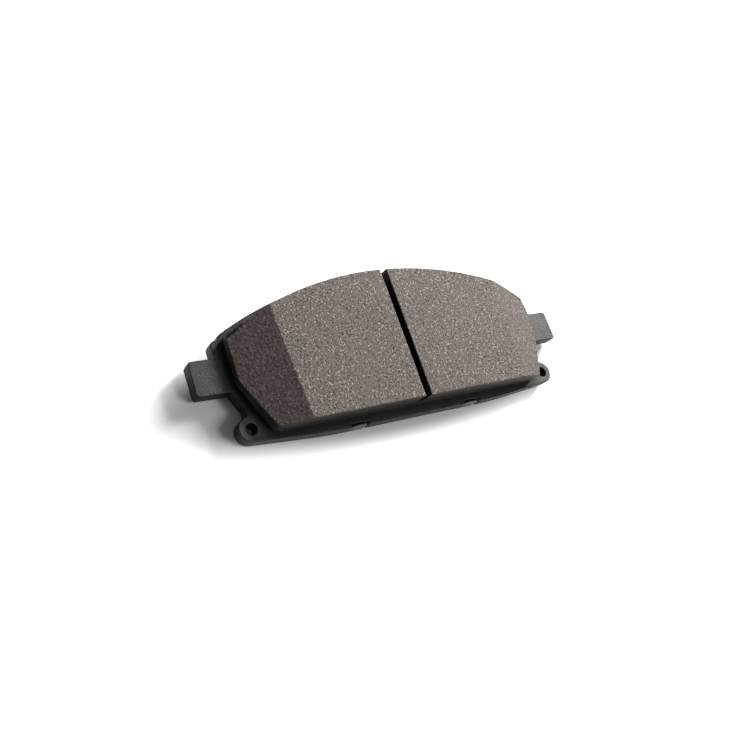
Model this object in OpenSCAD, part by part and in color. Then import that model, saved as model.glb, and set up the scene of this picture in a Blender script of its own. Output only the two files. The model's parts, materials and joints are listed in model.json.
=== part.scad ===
// Disc brake pad, lying on its back: shim underneath, friction face up.
// X runs along the pad, Y towards the rim of the disc, Z out of the friction face.
// The origin is the centre of the pad's outline, on the back of the cover shim.

/* [Backing plate] */
// Length of the pad over its two lugs
pad_length = 163; // [155:0.5:172]
// Radius of the plate's outer arc, about the disc's own centre
plate_arc_r = 148; // [140:0.5:160]
// Height of the plate from its lower edge to the top of the arc
plate_height = 57; // [56:0.5:60]
// Thickness of the pressed steel plate
plate_t = 5.2; // [5:0.1:6.5]
// Half width of the plate at its shoulders, just above the lugs
shoulder_x = 72.1; // [71:0.1:75]
// Half width at which the arc ends and steps down to the shoulder
arc_end_x = 68; // [67:0.1:69]

/* [Lugs and lobes] */
// Height of each lug, which slides in the caliper bracket
lug_h = 12.5; // [11:0.1:13.5]
// Distance of a lug's middle below the middle of the outline
lug_drop = 2.4; // [2:0.05:3.5]
// Distance between the spring holes in the two lower lobes
hole_spacing = 133.2; // [132:0.1:134]
// Distance of the spring holes above the plate's lower edge
hole_rise = 6.4; // [6:0.1:7]
// Diameter of a spring hole
hole_d = 4; // [3:0.1:5]
// Radius of a lobe around its spring hole
lobe_r = 4.4; // [4:0.1:5]

/* [Friction material] */
// Thickness of the friction blocks
friction_t = 7; // [5:0.1:9]
// Thickness of the softer layer under the blocks
underlayer_t = 1.85; // [1:0.05:3]
// Ledge of bare plate between the lining and the outer arc
lining_ledge = 2.2; // [1.5:0.1:3]
// Half length of the lining
lining_x = 67.5; // [66:0.1:68.5]
// Half length of the lining's lower edge
lining_foot_x = 59.2; // [54:0.1:61]
// Distance of the lining's lower edge above the plate's lower edge
lining_rise = 3.8; // [3.2:0.1:5]
// Height of the lining's upright end, below the arc
lining_end_h = 16.4; // [13:0.1:18]
// Width of the slot between the two blocks
slot_w = 2.8; // [2:0.1:4]
// Half length of the flat friction face at mid height, where the end ramps start
ramp_start_x = 49.9; // [45:0.1:56]
// Lean of the ramps' start lines, which are closer together at the lower edge
ramp_slant = 4; // [0:0.5:6]
// Fall of an end ramp from the face to the end of the lining, at mid height
ramp_drop = 5.4; // [3:0.1:6]

/* [Bonding] */
// Thickness of the bonding film on the plate
bond_t = 0.15; // [0.1:0.01:0.3]
// Diameter of the moulding holes that key the underlayer into the plate
key_d = 11; // [8:0.5:13]

/* [Shims] */
// Thickness of the glue film that holds the damping shim
glue_t = 0.1; // [0.1:0.01:0.2]
// Thickness of each rubber coat on the damping shim
coat_t = 0.15; // [0.1:0.01:0.25]
// Thickness of the damping shim's steel core
core_t = 0.5; // [0.4:0.05:0.8]
// Thickness of the clip-on cover shim
cover_t = 0.5; // [0.4:0.05:0.7]
// Distance of the shims' lower edge above the plate's lower edge
shim_rise = 2; // [1:0.1:3]
// Width of each tab that the cover shim folds over the plate's edge
tab_w = 6.9; // [6:0.1:10]
// Distance of the lower tabs from the middle
low_tab_x = 25.8; // [22:0.1:32]
// Distance of the upper tabs from the middle
top_tab_x = 31; // [26:0.5:36]
// Depth of the notches in the plate that take the tabs
notch_depth = 1.25; // [1.2:0.05:1.6]

/* [Hidden] */
$fn = 64;

// Heights of the faces between the layers, from the back of the pad up
coat_back_z = cover_t;
core_z = coat_back_z + coat_t;
coat_front_z = core_z + core_t;
glue_z = coat_front_z + coat_t;
plate_z = glue_z + glue_t;
bond_z = plate_z + plate_t;
underlayer_z = bond_z + bond_t;
block_z = underlayer_z + underlayer_t;
face_z = block_z + friction_t;

// Heights in the pad's outline, from its middle
top_y = plate_height / 2;
bottom_y = -plate_height / 2;
arc_centre_y = top_y - plate_arc_r;
lug_top_y = -lug_drop + lug_h / 2;
lug_bottom_y = -lug_drop - lug_h / 2;
hole_x = hole_spacing / 2;
hole_y = bottom_y + hole_rise;
lining_arc_r = plate_arc_r - lining_ledge;
lining_y = bottom_y + lining_rise;
lining_corner_y = arc_y(lining_arc_r, lining_x);
half_length = pad_length / 2;

// The lower edge is flat over this half width, then climbs to the lobes
flat_x = 38;
shoulder_y = 10;
waist_x = 66.5;
waist_y = -14.9;
fillet_r = 1.5;
notch_clear = 0.35;
tab_gap = 0.55;
key_places = [[-47, -4], [-20, 8], [20, 8], [47, -4]];
film_margin = 0.4;
window_w = 6;

// Floors of the notches, and the inner faces of the tabs that stand in them
low_notch_y = bottom_y + notch_depth;
low_tab_y = low_notch_y - tab_gap - cover_t;
top_notch_r = plate_arc_r - notch_depth;
top_tab_r = top_notch_r + tab_gap;
top_tab_angle = asin(top_tab_x / plate_arc_r);

// Height of an arc of radius r about the disc's centre, at half width x
function arc_y(r, x) = arc_centre_y + sqrt(r * r - x * x);

// Points of the same arc from one half width to another
function arc_points(r, from_x, to_x, steps) =
    [for (i = [0:steps]) let (x = from_x + (to_x - from_x) * i / steps) [x, arc_y(r, x)]];

// Points of an arc about any centre, from one angle to another
function arc(centre, r, from_a, to_a, steps) =
    [for (i = [0:steps]) let (a = from_a + (to_a - from_a) * i / steps) centre + r * [cos(a), sin(a)]];

function unit(v) = v / norm(v);

// One corner [x, y, radius] between its two neighbours, rounded by a tangent arc
function round_corner(before, corner, after, steps) =
    let (
        p = [corner[0], corner[1]],
        to_before = unit([before[0], before[1]] - p),
        to_after = unit([after[0], after[1]] - p),
        half_angle = acos(max(-1, min(1, to_before * to_after))) / 2,
        centre = p + unit(to_before + to_after) * corner[2] / sin(half_angle),
        start = p + to_before * corner[2] / tan(half_angle),
        end = p + to_after * corner[2] / tan(half_angle),
        a0 = atan2(start[1] - centre[1], start[0] - centre[0]),
        turn = atan2(end[1] - centre[1], end[0] - centre[0]) - a0,
        sweep = turn > 180 ? turn - 360 : turn < -180 ? turn + 360 : turn
    )
    [for (i = [0:steps]) centre + corner[2] * [cos(a0 + sweep * i / steps), sin(a0 + sweep * i / steps)]];

// A closed outline from [x, y, radius] corners; a radius of 0 keeps the corner sharp
function rounded(corners, steps = 6) =
    let (n = len(corners))
    [for (i = [0:n - 1])
        let (c = corners[i], before = corners[(i + n - 1) % n], after = corners[(i + 1) % n])
        each c[2] == 0 ? [[c[0], c[1]]] : round_corner(before, c, after, c[2] < 1 ? 3 : steps)];

function reversed(points) = [for (i = [len(points) - 1:-1:0]) points[i]];
function mirrored(corners) = reversed([for (c = corners) [-c[0], c[1], c[2]]]);
function sharp(points) = [for (p = points) [p[0], p[1], 0]];

// The lobe's round edge, which runs into the waist above it by a hollow fillet
fillet_x = waist_x + fillet_r;
fillet_y = hole_y + sqrt(pow(lobe_r + fillet_r, 2) - pow(fillet_x - hole_x, 2));
lobe_end = atan2(fillet_y - hole_y, fillet_x - hole_x);
lobe_edge = concat(
    arc([hole_x, hole_y], lobe_r, -86, lobe_end, 16),
    arc([fillet_x, fillet_y], fillet_r, 180 + lobe_end - 12, 180, 5)
);

// Right half of the plate's outline, from the lower edge up to the arc
plate_side = concat([[flat_x, bottom_y, 150]], sharp(lobe_edge), [
    [waist_x, waist_y, 1.5],
    [waist_x + 3, lug_bottom_y, 0.8],
    [half_length, lug_bottom_y, 1.2],
    [half_length, lug_top_y, 1.2],
    [shoulder_x, lug_top_y, 0.7],
    [shoulder_x, shoulder_y, 2.2],
    [arc_end_x + 1.3, shoulder_y + 0.1, 0.4],
    [arc_end_x, arc_y(plate_arc_r, arc_end_x), 0.5]
]);

module plate_outline() {
    rim = arc_points(plate_arc_r, arc_end_x - 1.5, 1.5 - arc_end_x, 44);
    polygon(rounded(concat(plate_side, sharp(rim), mirrored(plate_side))));
}

// Outline shared by the friction blocks and the layers under them, less a margin
module lining_outline(margin = 0) {
    r = lining_arc_r - margin;
    x = lining_x - margin;
    side = [
        [lining_foot_x - margin * 0.7, lining_y + margin, 3],
        [x, lining_corner_y - lining_end_h, 2],
        [x, arc_y(r, x), 1]
    ];
    rim = arc_points(r, x - 2, 2 - x, 44);
    polygon(rounded(concat(side, sharp(rim), mirrored(side))));
}

module key_circles(d) {
    for (p = key_places) translate(p) circle(d = d);
}

// A pair of rectangles on the lower edge, from y up
module low_pair(w, y, depth) {
    for (side = [-1, 1]) translate([side * low_tab_x - w / 2, y]) square([w, depth]);
}

// A pair of rectangles on the arc, square to it, from radius r out
module top_pair(w, r, depth) {
    for (side = [-1, 1])
        translate([0, arc_centre_y]) rotate(-side * top_tab_angle) translate([-w / 2, r]) square([w, depth]);
}

module backing_plate() {
    color([0.16, 0.16, 0.17])
    difference() {
        translate([0, 0, plate_z]) linear_extrude(plate_t) plate_outline();
        for (side = [-1, 1])
            translate([side * hole_x, hole_y, plate_z - 1]) cylinder(d = hole_d, h = plate_t + 2);
        translate([0, 0, plate_z - 1]) linear_extrude(plate_t + 2) {
            key_circles(key_d);
            low_pair(tab_w + 2 * notch_clear, low_notch_y - 5, 5);
            top_pair(tab_w + 2 * notch_clear, top_notch_r, 5);
        }
    }
}

module bond_film() {
    color([0.32, 0.2, 0.12])
    translate([0, 0, bond_z]) linear_extrude(bond_t)
    difference() {
        lining_outline();
        key_circles(key_d);
    }
}

// The moulded underlayer, with the plugs that fill the plate's moulding holes
module underlayer() {
    color([0.24, 0.22, 0.21]) {
        translate([0, 0, underlayer_z]) linear_extrude(underlayer_t) lining_outline();
        translate([0, 0, plate_z]) linear_extrude(plate_t + bond_t + 0.01) key_circles(key_d);
    }
}

// What an end ramp takes off the lining: everything above a plane that falls outwards
module ramp_cut(side) {
    reach = lining_x - ramp_start_x + 8;
    fall = reach * ramp_drop / ((lining_x - ramp_start_x) * cos(ramp_slant));
    translate([side * ramp_start_x, 0, face_z])
        rotate([0, 0, -side * ramp_slant])
            translate([0, plate_height, 0]) rotate([90, 0, 0]) linear_extrude(2 * plate_height)
                polygon([[0, 0], [side * reach, -fall], [side * reach, 1], [0, 1]]);
}

module friction_block(side) {
    reach = lining_x + 5;
    near = slot_w / 2;
    color([0.42, 0.38, 0.36])
    difference() {
        intersection() {
            translate([0, 0, block_z]) linear_extrude(friction_t) lining_outline();
            translate([side > 0 ? near : -near - reach, -plate_height, 0])
                cube([reach, 2 * plate_height, face_z + 1]);
        }
        ramp_cut(side);
    }
}

module friction_block_left() {
    friction_block(-1);
}

module friction_block_right() {
    friction_block(1);
}

// Outline of the shims on the back of the plate, clear of the lugs and lobes
module shim_outline(margin = 0) {
    r = plate_arc_r - 2.2 - margin;
    x = 68 - margin;
    side = [
        [flat_x, bottom_y + shim_rise + margin, 100],
        [60 - margin, bottom_y + shim_rise + 0.2 + margin, 2.5],
        [x - 5, hole_y + lobe_r + 2, 4],
        [x, lug_bottom_y - 1, 4],
        [x, arc_y(r, x), 3]
    ];
    rim = arc_points(r, x - 4, 4 - x, 40);
    polygon(rounded(concat(side, sharp(rim), mirrored(side))));
}

module shim_layer(z, t, margin) {
    translate([0, 0, z]) linear_extrude(t) shim_outline(margin);
}

module shim_glue_film() {
    color([0.75, 0.7, 0.5]) shim_layer(glue_z, glue_t, film_margin);
}

module damping_shim_front_coat() {
    color([0.08, 0.08, 0.08]) shim_layer(coat_front_z, coat_t, 0);
}

module damping_shim_core() {
    color([0.55, 0.56, 0.58]) shim_layer(core_z, core_t, 0);
}

module damping_shim_back_coat() {
    color([0.08, 0.08, 0.08]) shim_layer(coat_back_z, coat_t, 0);
}

// One round-ended window that holds grease against the damping shim
module grease_window(x, y, length, w, angle) {
    translate([x, y]) rotate(angle) {
        square([length - w, w], center = true);
        for (end = [-1, 1]) translate([end * (length - w) / 2, 0]) circle(d = w);
    }
}

// Clip-on steel cover, folded over the plate's edge at four tabs
module cover_shim() {
    tab_h = bond_z - 0.2;
    root = 4;
    color([0.6, 0.61, 0.62]) {
        linear_extrude(cover_t) difference() {
            union() {
                shim_outline();
                low_pair(tab_w, low_tab_y, root);
                top_pair(tab_w, top_tab_r + cover_t - root, root);
            }
            for (side = [-1, 1]) {
                grease_window(side * 24, -4, 24, window_w, side * -4);
                grease_window(side * 50, -6, 14, window_w, 90);
            }
        }
        linear_extrude(tab_h) {
            low_pair(tab_w, low_tab_y, cover_t);
            top_pair(tab_w, top_tab_r, cover_t);
        }
    }
}

backing_plate();
bond_film();
underlayer();
friction_block_left();
friction_block_right();
shim_glue_film();
damping_shim_front_coat();
damping_shim_core();
damping_shim_back_coat();
cover_shim();
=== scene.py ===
import json
import math

import bpy
import numpy as np
from mathutils import Matrix, Vector
from mathutils.geometry import delaunay_2d_cdt


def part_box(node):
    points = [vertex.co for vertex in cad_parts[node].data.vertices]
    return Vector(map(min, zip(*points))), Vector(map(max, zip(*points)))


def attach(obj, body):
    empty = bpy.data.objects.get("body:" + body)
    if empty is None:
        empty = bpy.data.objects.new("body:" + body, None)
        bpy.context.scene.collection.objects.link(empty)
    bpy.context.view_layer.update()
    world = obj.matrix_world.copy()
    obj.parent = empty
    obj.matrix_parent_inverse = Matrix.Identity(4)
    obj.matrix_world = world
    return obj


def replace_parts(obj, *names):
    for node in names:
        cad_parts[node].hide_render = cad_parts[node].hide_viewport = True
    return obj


# A disc brake pad lying on its back: a pressed steel backing plate, a moulded lining in two
# ground friction blocks, and the shims behind the plate. Shapes are worked out in millimetres,
# and add_mesh() turns them into metres. Outlines run anticlockwise and holes clockwise, so that
# the material is always on the left.

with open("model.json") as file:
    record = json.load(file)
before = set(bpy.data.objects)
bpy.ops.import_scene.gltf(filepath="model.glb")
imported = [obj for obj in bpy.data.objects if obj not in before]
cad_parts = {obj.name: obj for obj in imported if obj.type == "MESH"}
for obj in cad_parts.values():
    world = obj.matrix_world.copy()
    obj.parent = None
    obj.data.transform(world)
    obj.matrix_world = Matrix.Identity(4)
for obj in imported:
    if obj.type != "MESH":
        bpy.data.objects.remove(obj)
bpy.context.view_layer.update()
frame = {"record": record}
MM = 0.001


# ---------------------------------------------------------------- sizes taken from the frame

def box_mm(node):
    """Lowest and highest corner of a part of the frame, in millimetres."""
    low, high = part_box(node)
    return np.array(low) / MM, np.array(high) / MM


def heights(node):
    """Lower and upper face of a flat layer, in millimetres."""
    low, high = box_mm(node)
    return low[2], high[2]


PLATE_LOW, PLATE_HIGH = box_mm("backing_plate")
LINING_LOW, LINING_HIGH = box_mm("bond_film")
SHIM_LOW, SHIM_HIGH = box_mm("damping_shim_core")
COVER_LOW, COVER_HIGH = box_mm("cover_shim")
BLOCK_Z, FACE_Z = heights("friction_block_right")
BOND_Z, UNDERLAYER_Z = heights("bond_film")
PLATE_Z = PLATE_LOW[2]
PLATE_T = PLATE_HIGH[2] - PLATE_Z
HALF_LENGTH = PLATE_HIGH[0]
TOP_Y = PLATE_HIGH[1]
BOTTOM_Y = PLATE_LOW[1]
MOUNTS = {mount["name"]: mount for mount in frame["record"]["mounts"]}
HOLE_X, HOLE_Y, _ = np.array(MOUNTS["spring_hole_right"]["pos_m"]) / MM
HOLE_R = MOUNTS["spring_hole_right"]["dims"]["r_mm"]
LUG_Y = MOUNTS["lug_right"]["pos_m"][1] / MM

# ---------------------------------------------------------------- driving dimensions

PLATE_ARC_R = 148.0
ARC_CENTRE_Y = TOP_Y - PLATE_ARC_R
ARC_END_X = 68.0
SHOULDER_X = 72.1
SHOULDER_Y = 10.0
LUG_H = 12.5
LUG_LOW_Y = LUG_Y - LUG_H / 2
LUG_HIGH_Y = LUG_Y + LUG_H / 2
LOBE_R = 4.4
FILLET_R = 1.5
WAIST_X = 66.5
WAIST_Y = -14.9
FLAT_X = 38.0
NOTCH_W = 7.6
NOTCH_DEPTH = 1.25
LOW_TAB_X = 25.8
TOP_TAB_ANGLE = math.asin(31.0 / PLATE_ARC_R)
KEY_R = 5.5
KEY_PLACES = [(-47, -4), (-20, 8), (20, 8), (47, -4)]

LINING_X = LINING_HIGH[0]
LINING_Y = LINING_LOW[1]
LINING_R = LINING_HIGH[1] - ARC_CENTRE_Y
LINING_END_H = 16.4
LINING_TOP_Y = ARC_CENTRE_Y + math.sqrt(LINING_R ** 2 - LINING_X ** 2)
LINING_END_Y = LINING_TOP_Y - LINING_END_H
FOOT_X = 59.2
FOOT_R = 3
SLOT_X = box_mm("friction_block_right")[0][0]
RAMP_START_X = 49.9
RAMP_SLANT = math.radians(4)
RAMP_DROP = 5.4

SHIM_R = PLATE_ARC_R - 2.2
SHIM_X = SHIM_HIGH[0]
SHIM_Y = SHIM_LOW[1]
COVER_T = 0.5
TAB_W = 6.9
TAB_BEND_R = 0.55
TAB_TOP_Z = COVER_HIGH[2]
LOW_TAB_MID_Y = COVER_LOW[1] + COVER_T / 2
TAB_GAP = 0.55
TAB_TIP_R = 2.0
TOP_TAB_MID_R = PLATE_ARC_R - NOTCH_DEPTH + TAB_GAP + COVER_T / 2
LOW_BEND_Y = LOW_TAB_MID_Y + TAB_BEND_R
TOP_BEND_R = TOP_TAB_MID_R - TAB_BEND_R
TAB_ARC = TAB_BEND_R * math.pi / 2
TAB_LENGTH = TAB_ARC + TAB_TOP_Z - COVER_T / 2 - TAB_BEND_R


# ---------------------------------------------------------------- outlines

def arc_y(radius, x):
    """Height of an arc about the disc's centre: the centre's height plus sqrt(r^2 - x^2)."""
    return ARC_CENTRE_Y + np.sqrt(radius ** 2 - np.asarray(x, float) ** 2)


def rim(radius, from_x, to_x, steps):
    """Points of that arc, at even steps of x."""
    x = np.linspace(from_x, to_x, steps + 1)
    return np.stack([x, arc_y(radius, x)], 1)


def circle_part(centre, radius, from_deg, to_deg, steps):
    """Points of a circle: centre + r (cos a, sin a), at even steps of a."""
    a = np.radians(np.linspace(from_deg, to_deg, steps + 1))
    return np.array(centre) + radius * np.stack([np.cos(a), np.sin(a)], 1)


def unit(v):
    """Vectors of length 1."""
    return v / np.linalg.norm(v, axis=-1, keepdims=True)


def round_corner(before, corner, after, radius):
    """Arc tangent to both sides of a corner. Its centre is on the bisector, r / sin(half angle) away."""
    to_before = unit(before - corner)
    to_after = unit(after - corner)
    half_angle = math.acos(np.clip(to_before @ to_after, -1, 1)) / 2
    centre = corner + unit(to_before + to_after) * radius / math.sin(half_angle)
    start = corner + to_before * radius / math.tan(half_angle) - centre
    end = corner + to_after * radius / math.tan(half_angle) - centre
    a0 = math.atan2(start[1], start[0])
    turn = (math.atan2(end[1], end[0]) - a0 + math.pi) % (2 * math.pi) - math.pi
    steps = max(2, round(abs(turn) / math.radians(11)))
    return circle_part(centre, radius, math.degrees(a0), math.degrees(a0 + turn), steps)


def rounded(corners):
    """A closed outline from (x, y, radius) corners; a radius of 0 keeps the corner as a plain point."""
    corners = np.array(corners, float)
    points = corners[:, :2]
    count = len(points)
    pieces = [points[i:i + 1] if corners[i, 2] == 0 else
              round_corner(points[i - 1], points[i], points[(i + 1) % count], corners[i, 2])
              for i in range(count)]
    return np.concatenate(pieces)


def plain(points):
    """Points as corners of radius 0."""
    return list(np.column_stack([points, np.zeros(len(points))]))


def mirrored(corners):
    """The same corners on the other side of x = 0, in the order that closes the outline."""
    return list(np.array(corners, float)[::-1] * [-1, 1, 1])


def on_rim(angle, corners):
    """Corners (x, radius from the disc's centre, r) turned about the disc's centre by an angle: to
    x cos a + radius sin a, and the centre's height - x sin a + radius cos a."""
    x, radius, r = np.array(corners, float).T
    c, s = math.cos(angle), math.sin(angle)
    return list(np.column_stack([x * c + radius * s, ARC_CENTRE_Y - x * s + radius * c, r]))


def run_along(loop):
    """Distance run round a closed loop, up to the point after each of its points."""
    return np.cumsum(np.linalg.norm(np.roll(loop, -1, 0) - loop, axis=1))


def divided(loop, longest):
    """The loop with extra points on its long sides, so that no side is longer than a given length. A
    side is shared out evenly: its start plus its step times 0, 1/n, 2/n and so on."""
    step = np.roll(loop, -1, 0) - loop
    parts = np.maximum(1, np.ceil(np.linalg.norm(step, axis=1) / longest - 1e-6)).astype(int)
    side = np.repeat(np.arange(len(loop)), parts)
    first = np.cumsum(parts) - parts
    share = (np.arange(len(side)) - first[side]) / parts[side]
    return loop[side] + step[side] * share[:, None]


def inward(loop):
    """Mitred left normals: the sum of both sides' normals over one plus their dot product."""
    step = unit(np.roll(loop, -1, 0) - loop)
    after = np.stack([-step[:, 1], step[:, 0]], 1)
    before = np.roll(after, 1, 0)
    return (before + after) / (1 + (before * after).sum(1, keepdims=True))


def hole(centre, radius, steps):
    """A round hole, clockwise, so that its left side is the material."""
    return circle_part(centre, radius, 0, -360, steps)[:-1]


def key_holes():
    """The plate's moulding holes, which the underlayer's plugs fill."""
    return [hole(place, KEY_R, 72) for place in KEY_PLACES]


# ---------------------------------------------------------------- noise

def noise(x, y, cell, seed):
    """Value noise from 0 to 1: random values on a square lattice, blended by 3t^2 - 2t^3."""
    table = np.random.default_rng(seed).random((256, 256))
    u = np.asarray(x, float) / cell
    v = np.asarray(y, float) / cell
    i = np.floor(u).astype(int)
    j = np.floor(v).astype(int)
    s = (u - i) ** 2 * (3 - 2 * (u - i))
    t = (v - j) ** 2 * (3 - 2 * (v - j))
    low = table[i % 256, j % 256] * (1 - s) + table[(i + 1) % 256, j % 256] * s
    high = table[i % 256, (j + 1) % 256] * (1 - s) + table[(i + 1) % 256, (j + 1) % 256] * s
    return low * (1 - t) + high * t


def wall_noise(loop, z, cell, seed):
    """Noise from 0 to 1 on a wall: across is the distance run round the loop, up is the height."""
    return noise(run_along(loop)[None, :], z, cell, seed)


def turned(x, y, degrees):
    """The same place on axes turned by an angle, x cos a - y sin a and x sin a + y cos a, so that two
    noises don't share a lattice."""
    a = math.radians(degrees)
    return x * math.cos(a) - y * math.sin(a), x * math.sin(a) + y * math.cos(a)


def smoothstep(low, high, value):
    """0 below low, 1 above high, and 3t^2 - 2t^3 between."""
    t = np.clip((value - low) / (high - low), 0, 1)
    return t * t * (3 - 2 * t)


# ---------------------------------------------------------------- surfaces

def clearance(points, edge):
    """Distance from each point to the nearest point of an edge."""
    away = points[:, None, :] - edge[None, :, :]
    return np.hypot(away[:, :, 0], away[:, :, 1]).min(1)


def fill(loops, spacing):
    """Triangles that fill a flat region, with a staggered lattice of points inside for even faces."""
    edge = np.concatenate(loops)
    low, high = edge.min(0), edge.max(0)
    rows = np.arange(low[1] + spacing / 2, high[1], spacing * 0.87)
    columns = np.arange(low[0] + spacing / 2, high[0], spacing)
    x, y = np.meshgrid(columns, rows)
    x = x + np.where(np.arange(len(rows)) % 2, spacing / 2, 0)[:, None]
    lattice = np.stack([x.ravel(), y.ravel()], 1)
    lattice = lattice[clearance(lattice, edge) > spacing * 0.45]
    return triangulate(loops, lattice)


def triangulate(loops, inner):
    """Triangles between closed loops and inner points. The first loop is the outside, and the rest are
    holes."""
    points = np.concatenate(loops + [inner])
    sizes = np.cumsum([0] + [len(loop) for loop in loops])
    rings = [list(range(a, b)) for a, b in zip(sizes[:-1], sizes[1:])]
    rings[1:] = [ring[::-1] for ring in rings[1:]]
    made = delaunay_2d_cdt([Vector(p) for p in points], [], rings, 0, 1e-7, True)
    source = np.array([ids[0] if ids else -1 for ids in made[3]])
    inside = [ids == [0] for ids in map(sorted, made[5])]
    triangles = source[np.array(made[2])[inside]]
    used = np.isin(np.arange(len(points)), triangles)
    inner_used = used[sizes[-1]:]
    renumber = np.cumsum(used) - 1
    renumber[:sizes[-1]] = np.arange(sizes[-1])
    renumber[sizes[-1]:] = sizes[-1] + np.cumsum(inner_used) - 1
    return inner[inner_used], renumber[triangles]


def pressed(loops, profile, spacing, inner=None, ripple=None):
    """A slab. Each loop is carried through the profile's (inset, height) rings, from the back up: a
    ring's point is the loop's point plus inset times its left normal. The first and last rings are
    closed by the same flat mesh. Returns points, quads, triangles and each point's ring number from
    0 to 1."""
    profile = np.array(profile, float)
    count = len(profile)
    loops = [np.asarray(loop, float) for loop in loops]
    rings = []
    for loop in loops:
        inset = profile[:, 0][:, None] + np.zeros(len(loop))
        if ripple is not None:
            inset[1:-1] += ripple(loop, profile[1:-1, 1:])
        flat = loop + inset[:, :, None] * inward(loop)
        height = np.broadcast_to(profile[:, 1][:, None], inset.shape)
        rings.append(np.concatenate([flat, height[:, :, None]], 2))
    starts = np.cumsum([0] + [len(loop) * count for loop in loops])
    quads = []
    for loop, start in zip(loops, starts):
        n = len(loop)
        i = np.arange(n)[None, :]
        k = np.arange(count - 1)[:, None]
        here = start + k * n + i
        there = start + k * n + (i + 1) % n
        quads.append(np.stack([here, there, there + n, here + n], 2).reshape(-1, 4))
    ends = [ring[-1, :, :2] for ring in rings]
    inner, triangles = fill(ends, spacing) if inner is None else triangulate(ends, inner)
    back = np.concatenate([start + np.arange(len(loop)) for loop, start in zip(loops, starts)])
    front = np.concatenate([start + (count - 1) * len(loop) + np.arange(len(loop))
                            for loop, start in zip(loops, starts)])
    total = starts[-1]
    back = np.concatenate([back, total + np.arange(len(inner))])
    front = np.concatenate([front, total + len(inner) + np.arange(len(inner))])
    flat_ends = [np.column_stack([inner, np.full(len(inner), z)]) for z in profile[[0, -1], 1]]
    points = np.concatenate([ring.reshape(-1, 3) for ring in rings] + flat_ends)
    levels = np.concatenate([np.repeat(np.linspace(0, 1, count), len(loop)) for loop in loops]
                            + [np.zeros(len(inner)), np.ones(len(inner))])
    caps = np.concatenate([back[triangles][:, ::-1], front[triangles]])
    return points, np.concatenate(quads), caps, levels


def add_mesh(name, points, quads, triangles, finish, slot, flat_triangles=True, **attributes):
    """Puts points in millimetres and their faces into a new object, at the origin, riding on the pad."""
    mesh = bpy.data.meshes.new(name)
    mesh.vertices.add(len(points))
    mesh.vertices.foreach_set("co", (np.asarray(points) * MM).astype(np.float32).ravel())
    corners = np.concatenate([quads.ravel(), triangles.ravel()]).astype(np.int32)
    sizes = np.concatenate([np.full(len(quads), 4), np.full(len(triangles), 3)])
    smooth = np.concatenate([np.ones(len(quads), bool), np.full(len(triangles), not flat_triangles)])
    mesh.loops.add(len(corners))
    mesh.loops.foreach_set("vertex_index", corners)
    mesh.polygons.add(len(sizes))
    mesh.polygons.foreach_set("loop_start", (np.cumsum(sizes) - sizes).astype(np.int32))
    mesh.polygons.foreach_set("use_smooth", smooth)
    mesh.update(calc_edges=True)
    for key, values in attributes.items():
        mesh.attributes.new(key, "FLOAT", "POINT").data.foreach_set("value", values.astype(np.float32))
    mesh.materials.append(finish)
    piece = bpy.data.objects.new(name, mesh)
    bpy.context.scene.collection.objects.link(piece)
    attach(piece, "root")
    return piece


# ---------------------------------------------------------------- finishes

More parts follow.
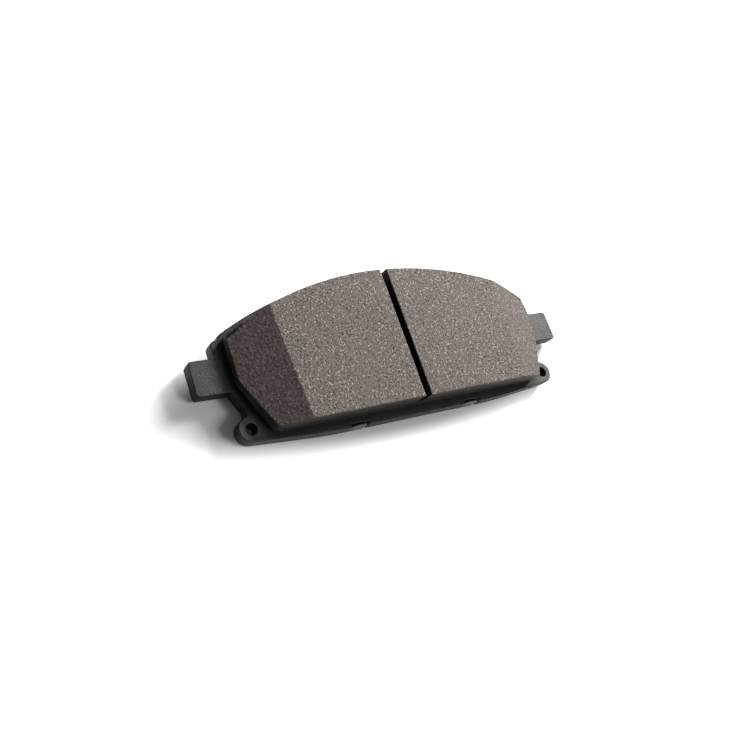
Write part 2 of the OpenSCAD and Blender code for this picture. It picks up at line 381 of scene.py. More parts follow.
class Finish:
    """A material with short calls for its nodes. Lengths are in millimetres on Object coordinates."""

    def __init__(self, name, **constants):
        self.material = bpy.data.materials.new(name)
        self.material.use_nodes = True
        self.tree = self.material.node_tree
        self.shader = self.tree.nodes["Principled BSDF"]
        for key, value in constants.items():
            self.shader.inputs[key.replace("_", " ")].default_value = value
        self.place = self.node("ShaderNodeTexCoord").outputs["Object"]

    def node(self, kind, settings=None, **inputs):
        """Adds a node; an input given as a socket is linked, and any other value is set."""
        made = self.tree.nodes.new(kind)
        for key, value in (settings or {}).items():
            setattr(made, key, value)
        for key, value in inputs.items():
            self.join(made.inputs[key.replace("_", " ")], value)
        return made

    def join(self, socket, value):
        """Links a socket to an input, or sets the input to a constant."""
        if isinstance(value, bpy.types.NodeSocket):
            self.tree.links.new(value, socket)
        else:
            socket.default_value = value

    def stretched(self, x, y, z):
        """Object coordinates scaled along each axis."""
        return self.node("ShaderNodeMapping", Vector=self.place, Scale=(x, y, z)).outputs[0]

    def grain(self, size, detail=2.0, place=None, roughness=0.5):
        """Soft noise from 0 to 1 with features of the given size."""
        return self.node("ShaderNodeTexNoise", Vector=place or self.place, Scale=1 / (size * MM),
                         Detail=detail, Roughness=roughness).outputs["Fac"]

    def flecks(self, size, place=None):
        """A random shade from 0 to 1 for each cell of a size, and the distance from its middle."""
        cells = self.node("ShaderNodeTexVoronoi", Vector=place or self.place, Scale=1 / (size * MM))
        shade = self.node("ShaderNodeSeparateColor", Color=cells.outputs["Color"]).outputs[0]
        return shade, cells.outputs["Distance"]

    def attribute(self, name):
        """A value stored at the mesh's points."""
        return self.node("ShaderNodeAttribute", {"attribute_name": name}).outputs["Fac"]

    def math(self, operation, a, b=0.0):
        """One sum on sockets or constants."""
        made = self.node("ShaderNodeMath", {"operation": operation})
        self.join(made.inputs[0], a)
        self.join(made.inputs[1], b)
        return made.outputs[0]

    def step(self, value, low, high, from_value=0.0, to_value=1.0):
        """Maps low..high to from_value..to_value and holds it beyond."""
        made = self.node("ShaderNodeMapRange", {"interpolation_type": "SMOOTHSTEP"}, Value=value)
        limits = {"From Min": low, "From Max": high, "To Min": from_value, "To Max": to_value}
        for key, number in limits.items():
            made.inputs[key].default_value = number
        return made.outputs["Result"]

    def mix(self, amount, a, b):
        """Colour a where amount is 0, colour b where it is 1."""
        made = self.node("ShaderNodeMix", {"data_type": "RGBA"})
        self.join(made.inputs["Factor"], amount)
        self.join(made.inputs[6], a)
        self.join(made.inputs[7], b)
        return made.outputs[2]

    def bump(self, height, depth):
        """Tilts the normal as if height 1 stood depth millimetres out of the surface."""
        return self.node("ShaderNodeBump", Height=height, Distance=depth * MM).outputs[0]

    def set(self, **inputs):
        """Joins the shader's inputs and returns the finished material."""
        for key, value in inputs.items():
            self.join(self.shader.inputs[key.replace("_", " ")], value)
        return self.material


def grey(value, warmth=0.0):
    """An opaque grey; warmth adds red and takes away blue."""
    return (value * (1 + warmth), value, value * (1 - warmth), 1)


def powder_coat():
    """Satin black powder coat: orange peel, faint mottling, worn sharp edges, and its sheared sides
    darkened to near black as painted shade.
    Near the lining it is darkened, partly by the lining's black paint spread onto it and partly as
    painted shade where the lining shades the plate (painted), and the lobes around the spring holes are
    lightened as painted light (lightened)."""
    f = Finish("powder_coat")
    peel = f.grain(0.5, 3.0, roughness=0.65)
    mottle = f.grain(7.0, 4.0)
    worn = f.math("MULTIPLY", f.attribute("edge"), f.step(f.grain(1.6, 4.0, roughness=0.7), 0.56, 0.66))
    speckled = f.mix(f.step(peel, 0.35, 0.65), grey(0.014), grey(0.05))
    dusty = f.mix(f.step(mottle, 0.4, 0.75, 0.0, 0.5), speckled, grey(0.026))
    # Painted shade: the plate's side walls, and the band around the lining, take a near-black colour.
    dark = f.math("MAXIMUM", f.attribute("side"), f.attribute("painted"))
    # Painted light: the lobes around the spring holes are lightened to a mid grey.
    dusty = f.mix(f.attribute("rubbed"), f.mix(dark, dusty, grey(0.007)), grey(0.06))
    return f.set(
        Base_Color=f.mix(f.math("MULTIPLY", worn, 0.6), dusty, grey(0.08)),
        Roughness=f.step(mottle, 0.3, 0.8, 0.46, 0.6),
        Specular_IOR_Level=f.step(dark, 0.0, 1.0, 0.34, 0.2),
        Normal=f.bump(peel, 0.14),
    )


def friction_compound():
    """Ground friction compound: mineral and fibre flecks in a grey-brown binder. The attributes are ramp
    (the ground ramps, darker partly from their own streaky grain and partly as painted shade), scorch
    (brown tint at the lower edge) and painted (black paint on the side walls, which also darkens the
    ramps towards the arc end)."""
    f = Finish("friction_compound")
    mottle = f.grain(0.6, 3.0, roughness=0.7)
    cloud = f.grain(14.0, 2.0)
    binder = (0.046, 0.039, 0.035, 1)
    mineral = (0.215, 0.187, 0.168, 1)
    haze = (0.15, 0.133, 0.12, 1)
    face = f.mix(f.step(mottle, 0.38, 0.62), binder, mineral)
    face = f.mix(f.step(cloud, 0.3, 0.75, 0.0, 0.25), face, haze)
    light, light_gap = f.flecks(0.78, f.stretched(1.0, 0.85, 1.0))
    is_light = f.math("MULTIPLY", f.step(light, 0.66, 0.72), f.step(light_gap, 0.42, 0.22))
    dark, dark_gap = f.flecks(0.9)
    is_dark = f.math("MULTIPLY", f.step(dark, 0.66, 0.72), f.step(dark_gap, 0.45, 0.24))
    fibre = (0.46, 0.42, 0.385, 1)
    graphite = (0.028, 0.023, 0.021, 1)
    face = f.mix(f.math("MULTIPLY", is_light, 0.8), face, fibre)
    face = f.mix(f.math("MULTIPLY", is_dark, 0.85), face, graphite)

    streaks = f.grain(0.42, 3.0, f.stretched(1.0, 0.5, 1.0), 0.65)
    ramp_fibre = (0.25, 0.205, 0.196, 1)
    ramp_graphite = (0.022, 0.017, 0.016, 1)
    ramp = f.mix(f.step(streaks, 0.38, 0.6), (0.03, 0.022, 0.0215, 1), (0.108, 0.083, 0.08, 1))
    ramp = f.mix(f.math("MULTIPLY", is_dark, 0.4), ramp, ramp_graphite)
    ramp = f.mix(f.math("MULTIPLY", is_light, 0.55), ramp, ramp_fibre)
    # The ramps' darker colour is partly their own streaky grain and partly painted shade.
    face = f.mix(f.attribute("ramp"), face, ramp)
    scorched = (0.1, 0.062, 0.04, 1)
    face = f.mix(f.math("MULTIPLY", f.attribute("scorch"), 0.7), face, scorched)

    border_noise = f.math("MULTIPLY", f.math("SUBTRACT", f.grain(0.8, 3.0), 0.5), 0.7)
    painted = f.step(f.math("ADD", f.attribute("painted"), border_noise), 0.42, 0.58)
    patches = f.step(f.grain(3.0, 3.0), 0.45, 0.8)
    paint = f.mix(patches, (0.008, 0.0078, 0.0075, 1), (0.015, 0.0135, 0.0125, 1))
    height = f.math("ADD", mottle, f.math("MULTIPLY", is_dark, -0.8))
    return f.set(
        Base_Color=f.mix(painted, face, paint),
        Roughness=f.mix(painted, grey(0.8), grey(0.6)),
        Specular_IOR_Level=f.step(painted, 0.0, 1.0, 0.35, 0.16),
        Normal=f.bump(height, 0.05),
    )


def painted_lining():
    """Black paint over moulded fibre: rough skin with brown patches where the paint is thin."""
    f = Finish("painted_lining", Specular_IOR_Level=0.25)
    thin = f.step(f.grain(5.0, 4.0), 0.62, 0.78)
    rough = f.grain(0.6, 3.0, roughness=0.7)
    black = (0.013, 0.013, 0.0125, 1)
    brown = (0.04, 0.031, 0.024, 1)
    return f.set(
        Base_Color=f.mix(f.math("MULTIPLY", thin, 0.6), black, brown),
        Roughness=f.step(rough, 0.3, 0.7, 0.45, 0.65),
        Normal=f.bump(rough, 0.08),
    )


def bond_resin():
    """Cured phenolic resin: nearly black brown with tiny bubbles."""
    f = Finish("bond_resin", Specular_IOR_Level=0.25)
    bubbles, gap = f.flecks(0.5)
    return f.set(
        Base_Color=f.mix(f.grain(2.0), (0.004, 0.0034, 0.003, 1), (0.009, 0.007, 0.0058, 1)),
        Roughness=f.step(f.grain(1.0), 0.3, 0.7, 0.5, 0.7),
        Normal=f.bump(f.math("MULTIPLY", bubbles, f.step(gap, 0.5, 0.1)), 0.05),
    )


def glue_film():
    """Pressure-sensitive adhesive: dull straw yellow, dusty where it shows at the edge."""
    f = Finish("glue_film", Specular_IOR_Level=0.4)
    dust = f.step(f.grain(1.2, 3.0), 0.45, 0.75)
    return f.set(
        Base_Color=f.mix(dust, (0.32, 0.26, 0.15, 1), (0.16, 0.14, 0.11, 1)),
        Roughness=f.step(f.grain(0.8), 0.3, 0.7, 0.4, 0.7),
        Normal=f.bump(f.grain(0.5), 0.02),
    )


def nitrile_coat():
    """Matt nitrile rubber: fine pebble grain and faint rub marks."""
    f = Finish("nitrile_coat", Specular_IOR_Level=0.4)
    _, gap = f.flecks(0.35)
    rub = f.grain(2.0, 3.0, f.stretched(0.15, 1.0, 1.0))
    return f.set(
        Base_Color=f.mix(f.step(rub, 0.4, 0.75), grey(0.012), grey(0.026)),
        Roughness=f.step(rub, 0.3, 0.8, 0.6, 0.8),
        Normal=f.bump(f.step(gap, 0.5, 0.0), 0.03),
    )


def rolled_steel():
    """Sheet steel: fine rolling lines along the pad and faint cloudy stains."""
    f = Finish("core_steel", Metallic=1.0)
    lines = f.grain(0.16, 3.0, f.stretched(0.012, 1.0, 1.0), 0.6)
    stain = f.grain(11.0, 4.0)
    shine = f.math("ADD", lines, f.math("MULTIPLY", stain, 0.4))
    colour = f.mix(f.step(stain, 0.35, 0.75), grey(0.42), grey(0.34, 0.02))
    return f.set(
        Base_Color=f.mix(f.step(lines, 0.3, 0.8, 0.0, 0.25), colour, grey(0.23)),
        Roughness=f.step(shine, 0.4, 1.0, 0.35, 0.6),
        Normal=f.bump(lines, 0.012),
    )


def coated_steel():
    """Sheet steel under a thin dark grey coat: rolling lines, cloudy stains, and spots worn lighter by
    rubbing.
    """
    f = Finish("coated_steel", Specular_IOR_Level=0.5)
    lines = f.grain(0.2, 3.0, f.stretched(0.015, 1.0, 1.0), 0.6)
    stain = f.grain(9.0, 4.0)
    rubbed = f.step(f.grain(3.0, 5.0, f.stretched(0.4, 1.0, 1.0), 0.7), 0.5, 0.75, 0.0, 0.6)
    coat = f.mix(f.step(stain, 0.35, 0.7), grey(0.05), grey(0.07))
    coat = f.mix(rubbed, coat, grey(0.11))
    return f.set(
        Base_Color=f.mix(f.step(lines, 0.35, 0.7, 0.0, 0.35), coat, grey(0.025)),
        Metallic=f.step(rubbed, 0.0, 0.6, 0.1, 0.5),
        Roughness=f.step(lines, 0.3, 0.7, 0.34, 0.5),
        Normal=f.bump(lines, 0.015),
    )


def glowing_floor_paper():
    """White paper with a barely visible tooth. It glows, as painted light, so that it stays white,
    except in an oval under the pad, which would light the pad's sides; the oval's edge sets where the
    pad's shadow fades out, a painted shadow."""
    f = Finish("glowing_floor_paper", Specular_IOR_Level=0.1, Roughness=0.9)
    f.shader.inputs["Emission Color"].default_value = grey(1.0)
    half_length, half_width, below_middle = 95, 20, 12
    scale = (1 / (half_length * MM), 1 / (half_width * MM), 1)
    shift = (0, below_middle / half_width, 0)
    oval = f.node("ShaderNodeMapping", Vector=f.place, Location=shift, Scale=scale).outputs[0]
    away = f.node("ShaderNodeVectorMath", {"operation": "LENGTH"}, Vector=oval).outputs["Value"]
    return f.set(
        Base_Color=f.mix(f.grain(4.0, 3.0), grey(0.79), grey(0.81)),
        Normal=f.bump(f.grain(1.5, 3.0), 0.02),
        # Painted light: the floor glows outside the oval, and the oval's edge shapes the pad's shadow as
        # painted shade.
        Emission_Strength=f.step(away, 0.86, 1.35, 0.0, 1.0),
    )


# ---------------------------------------------------------------- backing plate

def plate_outline():
    """Right half from the lower edge up to the arc, then the left half as its mirror image."""
    fillet_x = WAIST_X + FILLET_R
    fillet_y = HOLE_Y + math.sqrt((LOBE_R + FILLET_R) ** 2 - (fillet_x - HOLE_X) ** 2)
    lobe_end = math.degrees(math.atan2(fillet_y - HOLE_Y, fillet_x - HOLE_X))
    lobe = circle_part((HOLE_X, HOLE_Y), LOBE_R, -86, lobe_end, 26)
    hollow = circle_part((fillet_x, fillet_y), FILLET_R, 180 + lobe_end - 9, 180, 7)
    half = NOTCH_W / 2
    floor_y = BOTTOM_Y + NOTCH_DEPTH
    floor_r = PLATE_ARC_R - NOTCH_DEPTH
    low_mouth_r, top_mouth_r, notch_root_r = 0.9, 0.6, 0.3
    lug_corner_r = 1.2
    fairing_r = 150
    mouth = math.asin((half + 1.0) / PLATE_ARC_R)
    end_x = ARC_END_X - 1.6
    tab_x = PLATE_ARC_R * np.sin([TOP_TAB_ANGLE + mouth, TOP_TAB_ANGLE - mouth])
    right = [
        (LOW_TAB_X - half, BOTTOM_Y, low_mouth_r), (LOW_TAB_X - half, floor_y, notch_root_r),
        (LOW_TAB_X + half, floor_y, notch_root_r), (LOW_TAB_X + half, BOTTOM_Y, low_mouth_r),
        (FLAT_X, BOTTOM_Y, fairing_r), *plain(lobe), *plain(hollow),
        (WAIST_X, WAIST_Y, FILLET_R), (WAIST_X + 3, LUG_LOW_Y, 0.8),
        (HALF_LENGTH, LUG_LOW_Y, lug_corner_r), (HALF_LENGTH, LUG_HIGH_Y, lug_corner_r),
        (SHOULDER_X, LUG_HIGH_Y, 0.7), (SHOULDER_X, SHOULDER_Y, 2.2),
        (ARC_END_X + 1.3, SHOULDER_Y + 0.1, 0.5), (ARC_END_X, float(arc_y(PLATE_ARC_R, ARC_END_X)), 0.9),
        *plain(rim(PLATE_ARC_R, end_x, tab_x[0], 30)),
        *on_rim(TOP_TAB_ANGLE, [
            (half, PLATE_ARC_R - 0.01, top_mouth_r), (half, floor_r, notch_root_r),
            (-half, floor_r, notch_root_r), (-half, PLATE_ARC_R - 0.01, top_mouth_r),
        ]),
        *plain(rim(PLATE_ARC_R, tab_x[1], 0.5, 26)),
    ]
    return divided(rounded(right + mirrored(right)), 0.9)


def make_backing_plate():
    """Blanked plate: rolled-over front edge, a straight sheared band, and a slightly receding torn band
    towards the back, with its spring holes and moulding holes. The attributes edge and side run over
    the rings from the back up; painted and rubbed fall off with distance in the plan."""
    front_r, back_r, tear = 0.38, 0.25, 0.1
    top = PLATE_Z + PLATE_T
    quarter = np.radians(np.linspace(0, 90, 6))
    s, c = 1 - np.sin(quarter), 1 - np.cos(quarter)
    profile = list(np.column_stack([tear + back_r * s, PLATE_Z + back_r * c]))
    profile += [(tear, PLATE_Z + h) for h in (0.7, 1.2)]
    profile += [(0.0, PLATE_Z + h) for h in (1.6, 2.4, 3.2, 4.0)]
    profile += list(np.column_stack([front_r * c, top - front_r * s]))
    loops = [plate_outline()]
    loops += [hole((side * HOLE_X, HOLE_Y), HOLE_R, 48) for side in (-1, 1)]
    loops += key_holes()

    def ripple(loop, z):
        """Fine waves across the edge, drawn out along the punch's travel."""
        return 0.05 * (wall_noise(loop, z * 0.6, 1.3, 21) - 0.5)

    points, quads, caps, levels = pressed(loops, profile, 1.6, ripple=ripple)
    last = len(profile) - 1
    ring = levels * last
    edge = np.interp(ring, [0, 2, 5, 7, 9, 11, 13, 15, last], [0, 0.8, 0.5, 0, 0, 0.2, 1, 0.8, 0])
    # side is 1 on the plate's edge walls, which the coat darkens as painted shade.
    side = np.interp(ring, [0, 4, last - 4, last], [0, 1, 1, 0])
    # Painted shade, partly real paint overspray: the plate darkens within a few millimetres of the
    # lining, where the lining shades it.
    near_lining = clearance(points[:, :2], lining_outline())
    painted = np.interp(near_lining, [1.5, 4.5], [0.9, 0.0])
    from_hole = np.hypot(np.abs(points[:, 0]) - HOLE_X, points[:, 1] - HOLE_Y)
    # Painted light: the coat is lightened within a few millimetres of each spring hole, on the front
    # face only.
    rubbed = np.interp(from_hole, [3.4, 5.6], [0.8, 0.0]) * (1 - side)
    plate = add_mesh("pressed_backing_plate", points, quads, caps, powder_coat(), "plate_coat",
                     edge=edge, side=side, painted=painted, rubbed=rubbed)
    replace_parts(plate, "backing_plate")


# ---------------------------------------------------------------- lining

def lining_outline():
    """Outline shared by the underlayer and the bonding film; the blocks keep to the same sides."""
    right = [
        (FOOT_X, LINING_Y, FOOT_R), (LINING_X, LINING_END_Y, 2), (LINING_X, LINING_TOP_Y, 1),
        *plain(rim(LINING_R, LINING_X - 2, 0.5, 60)),
    ]
    return divided(rounded(right + mirrored(right)), 0.8)


def make_bond_film():
    """The film with a small bead squeezed out along the lining's foot: a quarter turn whose inset runs
    from -reach by (reach + 0.05) (1 - cos a), while its height grows by sin a."""
    reach = 0.35
    height = UNDERLAYER_Z - BOND_Z + 0.1
    turn = np.radians(np.linspace(0, 90, 5))
    inset = (reach + 0.05) * (1 - np.cos(turn)) - reach
    profile = np.column_stack([inset, BOND_Z + height * np.sin(turn)])

    def ripple(loop, z):
        """The bead's wandering width."""
        return 0.3 * (wall_noise(loop, z, 2.7, 31) - 0.35)

    loops = [lining_outline()] + key_holes()
    points, quads, caps, _ = pressed(loops, profile, 2.5, ripple=ripple)
    film = add_mesh("squeezed_bond_film", points, quads, caps, bond_resin(), "bond_resin")
    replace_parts(film, "bond_film")


def make_underlayer():
    """The softer moulded layer. Its wall bellies out by 0.08 sin(pi t) over its height and waves, and
    plugs fill the plate's holes."""
    height = BLOCK_Z - UNDERLAYER_Z
    share = np.linspace(0, 1, 7)
    belly = 0.08 * np.sin(np.pi * share)
    profile = np.column_stack([0.04 - belly, UNDERLAYER_Z + height * share])
    profile[0, 0] = 0.12
    profile[-1, 0] = 0.12

    def ripple(loop, z):
        """Slow waves and a rough skin."""
        return 0.12 * (wall_noise(loop, z, 4.0, 41) - 0.5) + 0.08 * (wall_noise(loop, z, 0.9, 42) - 0.5)

    parts = [pressed([lining_outline()], profile, 2.5, ripple=ripple)[:3]]
    shrink = 0.02
    plug = [(shrink, PLATE_Z), (shrink, PLATE_Z + PLATE_T / 2), (shrink, UNDERLAYER_Z + 0.01)]
    parts += [pressed([outline[::-1]], plug, 1.6)[:3] for outline in key_holes()]
    starts = np.cumsum([0] + [len(points) for points, _, _ in parts])
    points = np.concatenate([part[0] for part in parts])
    quads = np.concatenate([part[1] + start for part, start in zip(parts, starts)])
    caps = np.concatenate([part[2] + start for part, start in zip(parts, starts)])
    layer = add_mesh("moulded_underlayer", points, quads, caps, painted_lining(), "underlayer")
    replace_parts(layer, "underlayer")


def columns(stretches):
    """Positions along a block. Each (from, to, steps, ease) stretch is packed closer towards its ends
    by moving t to t - ease sin(2 pi t) / (2 pi)."""
    parts = []
    for start, end, steps, ease in stretches:
        t = np.linspace(0, 1, steps + 1)
        t = (1 - ease) * t + ease * (t - np.sin(2 * np.pi * t) / (2 * np.pi))
        parts.append(start + (end - start) * t[:-1])
    return np.concatenate(parts + [[stretches[-1][1]]])


def side_gaps(x, y):
    """Distance of a point inside a block from each of its five sides, in a stack: the slot, the arc
    (its radius less the distance from the disc's centre), the lower side, the end and the foot."""
    run = np.array([LINING_X - FOOT_X, LINING_END_Y - LINING_Y])
    across = np.array([-run[1], run[0]]) / np.hypot(*run)
    return np.stack([
        x - SLOT_X,
        LINING_R - np.hypot(x, y - ARC_CENTRE_Y),
        y - LINING_Y,
        LINING_X - x,
        (x - FOOT_X) * across[0] + (y - LINING_Y) * across[1],
    ])


def sides_at(x):
    """Heights of the block's lower side and of its arc at x. The lower side is the softly greater of
    the level side a and the rising foot b: (a + b + sqrt((a - b)^2 + blend^2)) / 2."""
    rising = LINING_Y + (LINING_END_Y - LINING_Y) / (LINING_X - FOOT_X) * (x - FOOT_X)
    blend = 1.06
    low = (LINING_Y + rising + np.sqrt((LINING_Y - rising) ** 2 + blend ** 2)) / 2
    return low - blend ** 2 / 200, arc_y(LINING_R, x)


def block_grid():
    """The block's plan as a grid. Columns run from the slot to the end and lean with the ramp's start
    line, and rows run from the lower side to the arc: y = low + (high - low) v."""
    on_face = (SLOT_X, RAMP_START_X, 236, 0.2)
    on_ramp = (RAMP_START_X, LINING_X, 88, 0.2)
    x = columns([on_face, on_ramp])[:, None]
    v = columns([(0.0, 1.0, 232, 0.25)])[None, :]
    lean = np.interp(x, [SLOT_X, RAMP_START_X, LINING_X], [0, math.tan(RAMP_SLANT), 0])
    low, high = sides_at(x)
    x = x + lean * (low + (high - low) * v)
    low, high = sides_at(x)
    y = low + (high - low) * v
    to_corner = np.minimum(y - LINING_END_Y, LINING_TOP_Y - y)
    near_end = ((x - RAMP_START_X) / (LINING_X - RAMP_START_X)).clip(0) ** 8
    softened = 0.25 * (1 - smoothstep(0.0, 0.8, to_corner)) * near_end
    return x - softened, y


def ground_face(x, y, seed):
    """Heights of the face and its end ramp, and how far each point belongs to the ramp, from 0 to 1.
    The ramp falls evenly from its start line to the end. Grain, pits and grinding marks are noises
    times depths, and worn edges fall by r - sqrt(r^2 - (r - gap)^2) within r of each side."""
    beyond = x - RAMP_START_X - math.tan(RAMP_SLANT) * y
    on_ramp = smoothstep(0.0, 0.25, beyond)
    z = FACE_Z - RAMP_DROP * beyond.clip(0) / (LINING_X - RAMP_START_X)
    coarse = noise(*turned(x, y, 31), 0.95, seed) - 0.5
    fine = noise(x, y, 0.5, seed + 1) - 0.5
    pits = smoothstep(0.74, 0.93, noise(*turned(x, y, -17), 0.8, seed + 2))
    grooves = noise(x, y / 16, 0.55, seed + 3) - 0.5
    wave = noise(x, y, 11.0, seed + 4) - 0.5
    z = z + (1 - on_ramp) * (0.06 * coarse + 0.06 * fine - 0.13 * pits)
    z = z + on_ramp * (0.04 * grooves + 0.045 * fine + 0.03 * coarse - 0.05 * pits) + 0.05 * wave
    chips = smoothstep(0.8, 0.95, noise(*turned(x, y, 9), 1.9, seed + 6))
    radius = 0.1 + 0.16 * noise(x, y, 2.3, seed + 5) ** 2
    radius = radius + 0.22 * chips
    gaps = side_gaps(x, y)
    fall = radius - np.sqrt(np.clip(radius ** 2 - (radius - gaps).clip(0) ** 2, 0, None))
    return z - np.minimum(fall.sum(0), radius * 1.1), on_ramp


def rough_walls(loop, top, seed):
    """Rings of points from just under the face's border down to the underlayer, moved out of the wall
    by two noises that fade towards the border."""
    share = np.array([0.06, 0.16, 0.32, 0.5, 0.68, 0.84, 1.0])[:, None]
    z = top * (1 - share) + BLOCK_Z * share
    rough = 0.16 * (wall_noise(loop, z, 3.1, seed + 7) - 0.5)
    rough = rough + 0.12 * (wall_noise(loop, z, 0.8, seed + 8) - 0.5)
    rough = rough * np.minimum(1, 6 * share) - 0.02
    return np.concatenate([loop[None] - rough[:, :, None] * inward(loop)[None], z[:, :, None]], 2)


def make_friction_block(side, seed):
    """One block: its ground face, its rough walls and a flat base. The left block is the right one's
    mirror, with its own grain."""
    x, y = block_grid()
    z, on_ramp = ground_face(x, y, seed)
    gaps = side_gaps(x, y)
    count = x.size
    index = np.arange(count).reshape(x.shape)
    face = np.stack([index[:-1, :-1], index[1:, :-1], index[1:, 1:], index[:-1, 1:]], 2).reshape(-1, 4)
    border = np.concatenate([index[:-1, 0], index[-1, :-1], index[:0:-1, -1], index[0, :0:-1]])
    n = len(border)
    loop = np.column_stack([x.ravel()[border], y.ravel()[border]])
    walls = rough_walls(loop, z.ravel()[border], seed)
    ring = np.concatenate([border[None, :], count + np.arange(len(walls) * n).reshape(-1, n)])
    after = np.roll(ring, -1, 1)
    sides = np.stack([ring[1:], after[1:], after[:-1], ring[:-1]], 2).reshape(-1, 4)
    inner, base = fill([walls[-1, :, :2]], 2.5)
    base_ids = np.concatenate([ring[-1], count + len(walls) * n + np.arange(len(inner))])
    points = np.concatenate([
        np.column_stack([x.ravel(), y.ravel(), z.ravel()]), walls.reshape(-1, 3),
        np.column_stack([inner, np.full(len(inner), BLOCK_Z)]),
    ])
    quads = np.concatenate([face, sides])
    triangles = base_ids[base][:, ::-1]

    beyond_face = np.zeros(len(points) - count)
    # Painted shade: the left ramp, turned away from the key light, takes the darker ramp colour fully,
    # and the right one only half.
    ramp_shade = 1.0 if side < 0 else 0.5
    ramp = np.concatenate([on_ramp.ravel() * ramp_shade, beyond_face])
    # Darkens the ramps with the black paint colour towards the arc end.
    dark_by_arc = smoothstep(-3.2, -0.4, -gaps[1]) * smoothstep(52, 65, x) * on_ramp
    painted = np.concatenate([np.zeros(count), beyond_face + 1])
    painted[border] = 0.35
    painted[:count] = np.maximum(painted[:count], 0.62 * dark_by_arc.ravel())
    scorch = smoothstep(-1.7, -0.2, -gaps[2]) * smoothstep(0.42, 0.68, noise(x, y, 7.0, seed + 9))
    scorch = np.concatenate([scorch.ravel(), beyond_face])
    points[:, 0] *= side
    if side < 0:
        quads = quads[:, ::-1]
        triangles = triangles[:, ::-1]
    name = "left" if side < 0 else "right"
    block = add_mesh(f"ground_friction_block_{name}", points, quads, triangles, COMPOUND, "friction",
                     ramp=ramp, painted=painted, scorch=scorch)
    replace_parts(block, f"friction_block_{name}")


# ---------------------------------------------------------------- shims

def shim_corners(margin=0.0):
    """Right half of the shims' outline, from the lower edge up to where the arc starts."""
    x = SHIM_X - margin
    return [
        (FLAT_X, SHIM_Y + margin, 100), (60 - margin, SHIM_Y + 0.2 + margin, 2.5),
        (x - 5, HOLE_Y + LOBE_R + 2, 4), (x, LUG_LOW_Y - 1, 4),
        (x, float(arc_y(SHIM_R - margin, x)), 3),
    ]


def soft_edges(low, high, soft):
    """Profile of a thin slab whose edges are broken by the given amount."""
    part = soft * 0.3
    return [(soft, low), (part, low + part), (0, low + soft),
            (0, high - soft), (part, high - part), (soft, high)]


def make_thin_layers():
    """The damping shim and its glue, punched as one stack: thin slabs with softly broken edges."""
    layers = [
        ("sprayed_glue_film", "shim_glue_film", 0.4, glue_film(), "shim_glue"),
        ("front_rubber_coat", "damping_shim_front_coat", 0.0, NITRILE, "shim_rubber"),
        ("shim_steel_core", "damping_shim_core", 0.0, rolled_steel(), "shim_core"),
        ("back_rubber_coat", "damping_shim_back_coat", 0.0, NITRILE, "shim_rubber"),
    ]
    for name, node, margin, finish, slot in layers:
        low, high = heights(node)
        right = shim_corners(margin) + plain(rim(SHIM_R - margin, SHIM_X - margin - 4, 0.5, 60))
        outline = divided(rounded(right + mirrored(right)), 1.2)
        profile = soft_edges(low, high, (high - low) * 0.3)
        points, quads, caps, _ = pressed([outline], profile, 3.0)
        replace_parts(add_mesh(name, points, quads, caps, finish, slot), node)


def grease_window(x, y, length, width, degrees):
    """A round-ended slot, clockwise."""
    r = width / 2
    half = length / 2 - r
    ends = [circle_part((half, 0), r, 90, -90, 16), circle_part((-half, 0), r, -90, -270, 16)]
    flat = divided(np.concatenate(ends), 1.2)
    turned_x, turned_y = turned(flat[:, 0], flat[:, 1], degrees)
    return np.column_stack([turned_x + x, turned_y + y])


def bend_up(w, n):
    """Flat sheet beyond a bend line, w along the sheet and n through it, to (run, height): an arc of a
    quarter turn about the bend's centre, then straight up."""
    angle = np.clip(w, 0, TAB_ARC) / TAB_BEND_R
    run = TAB_BEND_R * np.sin(angle) - n * np.sin(angle)
    rise = TAB_BEND_R * (1 - np.cos(angle)) + n * np.cos(angle) + np.clip(w - TAB_ARC, 0, None)
    return run, rise


def tab_strip(root, root_r, bend, rows):
    """Corners (across, out, r) of one tab before it is bent: up one side from its root, past the bend
    line and round the tip, and down the other side."""
    out = np.concatenate([[root], bend + rows, [bend + TAB_LENGTH]])
    r = np.concatenate([[root_r], np.zeros(len(rows)), [TAB_TIP_R]])
    side = np.column_stack([np.full(len(out), TAB_W / 2), out, r])
    return np.concatenate([side * [-1, 1, 1], side[::-1]])


def grid_points(x, y):
    """The points of a grid, one to a row."""
    return np.stack([axis.ravel() for axis in np.meshgrid(x, y)], 1)


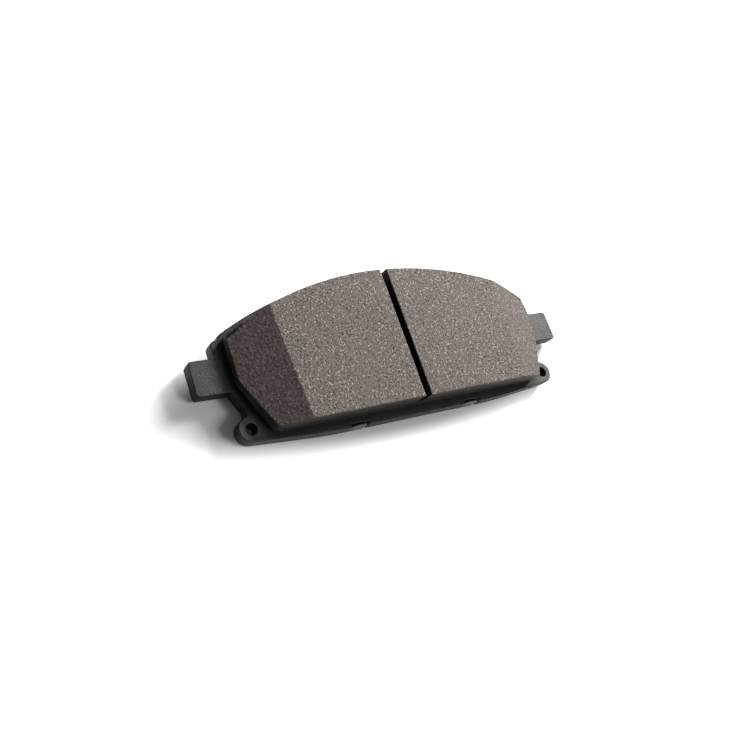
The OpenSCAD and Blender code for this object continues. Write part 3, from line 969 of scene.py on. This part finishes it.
def cover_blank():
    """The flat blank: its outline and windows as loops, and the points inside for even faces."""
    straight = np.linspace(TAB_ARC, TAB_LENGTH - TAB_TIP_R - 0.2, 4)[1:]
    rows = np.concatenate([np.linspace(0, TAB_ARC, 9), straight])
    low_tab = tab_strip(-SHIM_Y, 0.8, -LOW_BEND_Y, rows) * [1, -1, 1] + [LOW_TAB_X, 0, 0]
    top_tab = tab_strip(SHIM_R - 0.02, 0.5, TOP_BEND_R, rows) * [-1, 1, 1]
    mouth = math.asin((TAB_W / 2 + 1.6) / SHIM_R)
    tab_x = SHIM_R * np.sin([TOP_TAB_ANGLE + mouth, TOP_TAB_ANGLE - mouth])
    right = [
        *low_tab, *shim_corners(), *plain(rim(SHIM_R, SHIM_X - 4, tab_x[0], 26)),
        *on_rim(TOP_TAB_ANGLE, top_tab), *plain(rim(SHIM_R, tab_x[1], 0.5, 20)),
    ]
    loops = [divided(rounded(right + mirrored(right)), 1.0)]
    for side in (-1, 1):
        loops.append(grease_window(side * 24, -4, 24, 6, side * -4))
        loops.append(grease_window(side * 50, -6, 14, 6, 90))

    on_tab = grid_points(np.linspace(-TAB_W / 2 + 0.5, TAB_W / 2 - 0.5, 9), rows)
    low_inner = on_tab * [1, -1] + [LOW_TAB_X, LOW_BEND_Y]
    top_flat = np.column_stack([on_tab + [0, TOP_BEND_R], np.zeros(len(on_tab))])
    tabs = np.concatenate([low_inner, np.array(on_rim(TOP_TAB_ANGLE, top_flat))[:, :2]])
    body = grid_points(np.arange(-66, 66.1, 2.0), np.arange(-26, 26, 2.0))
    from_rim = SHIM_R - np.hypot(body[:, 0], body[:, 1] - ARC_CENTRE_Y)
    body = body[(clearance(body, np.concatenate(loops)) > 0.9) & (from_rim > 0.5)]
    return loops, np.concatenate([body, tabs, tabs * [-1, 1]])


def fold_tabs(points):
    """The blank's points with the four tabs bent up. A tab's points are read across the tab and out
    from its bend line, and bend_up() turns the latter into a run and a rise."""
    x, y, n = points.T
    t = COVER_T / 2
    reach = TAB_W / 2 + 0.01
    placed = np.column_stack([x, y, n + t])
    for side in (-1, 1):
        low = (np.abs(x - side * LOW_TAB_X) < reach) & (y < LOW_BEND_Y)
        run, rise = bend_up(LOW_BEND_Y - y[low], n[low])
        placed[low, 1] = LOW_BEND_Y - run
        placed[low, 2] = t + rise
        angle = side * TOP_TAB_ANGLE
        across = x * math.cos(angle) - (y - ARC_CENTRE_Y) * math.sin(angle)
        out = x * math.sin(angle) + (y - ARC_CENTRE_Y) * math.cos(angle)
        top = (np.abs(across) < reach) & (out > TOP_BEND_R)
        run, rise = bend_up(out[top] - TOP_BEND_R, n[top])
        placed[top] = on_rim(angle, np.column_stack([across[top], TOP_BEND_R + run, t + rise]))
    return placed


def make_cover_shim():
    """Flat blank with grease windows and four strips, which are then bent up as the clip tabs."""
    loops, inner = cover_blank()
    profile = soft_edges(-COVER_T / 2, COVER_T / 2, 0.09)
    points, quads, caps, _ = pressed(loops, profile, 2.0, inner=inner)
    cover = add_mesh("folded_cover_shim", fold_tabs(points), quads, caps, coated_steel(),
                     "cover_steel", flat_triangles=False)
    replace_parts(cover, "cover_shim")


# ---------------------------------------------------------------- stage, lights and camera

def make_floor():
    """A square of white paper, a hair below the pad."""
    half = 2500 * MM
    z = -0.02 * MM
    corners = [(-half, -half, z), (half, -half, z), (half, half, z), (-half, half, z)]
    mesh = bpy.data.meshes.new("floor")
    mesh.from_pydata(corners, [], [(0, 1, 2, 3)])
    mesh.materials.append(glowing_floor_paper())
    floor = bpy.data.objects.new("floor", mesh)
    bpy.context.scene.collection.objects.link(floor)


def area_light(name, azimuth, elevation, distance, size, power, colour=(1, 1, 1)):
    """A square soft light that faces the middle of the pad; azimuth is counted from +X towards +Y.
    Distance and size are in metres."""
    data = bpy.data.lights.new(name, "AREA")
    data.size = size
    data.energy = power
    data.color = colour
    light = bpy.data.objects.new(name, data)
    a, e = math.radians(azimuth), math.radians(elevation)
    towards = Vector((math.cos(a) * math.cos(e), math.sin(a) * math.cos(e), math.sin(e)))
    light.location = towards * distance
    light.rotation_euler = towards.to_track_quat("Z", "Y").to_euler()
    bpy.context.scene.collection.objects.link(light)


def make_lights():
    """A low key light from the right and behind, a weaker fill from the front right, and a dim
    surround."""
    warm = (1, 0.985, 0.96)
    area_light("key", azimuth=33, elevation=30, distance=0.6, size=0.2, power=6.6, colour=warm)
    area_light("front_fill", azimuth=-38, elevation=50, distance=1.2, size=0.5, power=5.5)
    world = bpy.data.worlds.new("surround")
    world.use_nodes = True
    background = world.node_tree.nodes["Background"]
    background.inputs["Color"].default_value = grey(1.0)
    background.inputs["Strength"].default_value = 0.15
    bpy.context.scene.world = world


def make_camera():
    """Camera at a place, looking at a target, both in millimetres, and rolled about its own axis."""
    place = Vector((-185.7, -84.1, 248.5)) * MM
    target = Vector((-16.45, -7.54, 6.6)) * MM
    roll = math.radians(50.94)
    forward = (target - place).normalized()
    level_right = forward.cross(Vector((0, 0, 1))).normalized()
    level_up = level_right.cross(forward)
    right = level_right * math.cos(roll) + level_up * math.sin(roll)
    up = level_up * math.cos(roll) - level_right * math.sin(roll)
    data = bpy.data.cameras.new("camera")
    data.sensor_fit = "HORIZONTAL"
    data.sensor_width = 36.0
    data.lens = 41.79
    data.clip_start = 0.01
    camera = bpy.data.objects.new("camera", data)
    axes = Matrix((right, up, -forward)).transposed()
    camera.matrix_world = Matrix.Translation(place) @ axes.to_4x4()
    bpy.context.scene.collection.objects.link(camera)
    bpy.context.scene.camera = camera


COMPOUND = friction_compound()
NITRILE = nitrile_coat()

make_camera()
make_lights()
make_floor()
make_backing_plate()
make_bond_film()
make_underlayer()
make_friction_block(-1, 101)
make_friction_block(1, 201)
make_thin_layers()
make_cover_shim()
bpy.context.scene.view_settings.view_transform = "Standard"
